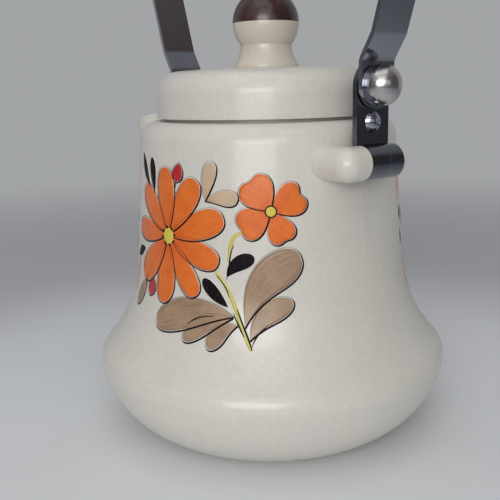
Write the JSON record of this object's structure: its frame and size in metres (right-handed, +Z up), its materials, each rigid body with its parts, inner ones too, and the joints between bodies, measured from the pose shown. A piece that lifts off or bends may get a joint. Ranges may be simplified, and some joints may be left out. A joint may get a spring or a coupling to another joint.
{
  "type": "tea kettle",
  "caption": "Flared enamelled steel stovetop kettle with lift-off domed lid, ball knob, short curved spout and a swinging chromed strap bail with a moulded grip",
  "frame": {"origin": "centre of the kettle's flat underside, on the surface it stands on", "axes": "+Z up; the spout points along -X; the bail stands in the XZ plane with its pivots on a line along X"},
  "size_m": [0.2248, 0.191, 0.2936],
  "materials": {
    "enamel": "glossy cream vitreous enamel with faint speckle and fired-on flower transfers",
    "chrome": "bright plated strap and fasteners",
    "zinc": "zinc plated small fasteners",
    "plain_steel": "plain steel inside the lid",
    "brown_phenolic": "dark brown moulded phenolic, softly polished"
  },
  "bodies": {
    "kettle": {"body_shell": "enamel", "base_pan": "enamel", "spout": "enamel", "rear_lug": "enamel", "rear_clip": "chrome", "rear_clip_screw": "chrome", "rear_clip_nut": "zinc", "rear_pivot_bolt": "chrome", "rear_spacer": "zinc", "rear_flat_washer": "chrome", "rear_spring_washer": "zinc", "rear_outer_washer": "chrome", "rear_dome_nut": "chrome", "front_lug": "enamel", "front_clip": "chrome", "front_clip_screw": "chrome", "front_clip_nut": "zinc", "front_pivot_bolt": "chrome", "front_spacer": "zinc", "front_flat_washer": "chrome", "front_spring_washer": "zinc", "front_outer_washer": "chrome", "front_dome_nut": "chrome"},
    "lid": {"lid_shell": "enamel", "lid_flange": "plain_steel", "knob_neck": "enamel", "knob_cap": "brown_phenolic", "knob_screw": "plain_steel", "knob_washer": "plain_steel"},
    "bail": {"rear_arm": "chrome", "front_arm": "chrome", "grip_upper": "brown_phenolic", "grip_lower": "brown_phenolic", "rear_grip_screw": "chrome", "front_grip_screw": "chrome"}
  },
  "joints": [
    {"name": "bail_swing", "type": "hinge", "parent": "kettle", "child": "bail", "pos_m": [0, 0, 0.181], "axis": [1, 0, 0], "range_deg": [-104, 104]},
    {"name": "lid_lift", "type": "slide", "parent": "kettle", "child": "lid", "axis": [0, 0, 1], "range_m": [0, 0.025]}
  ]
}
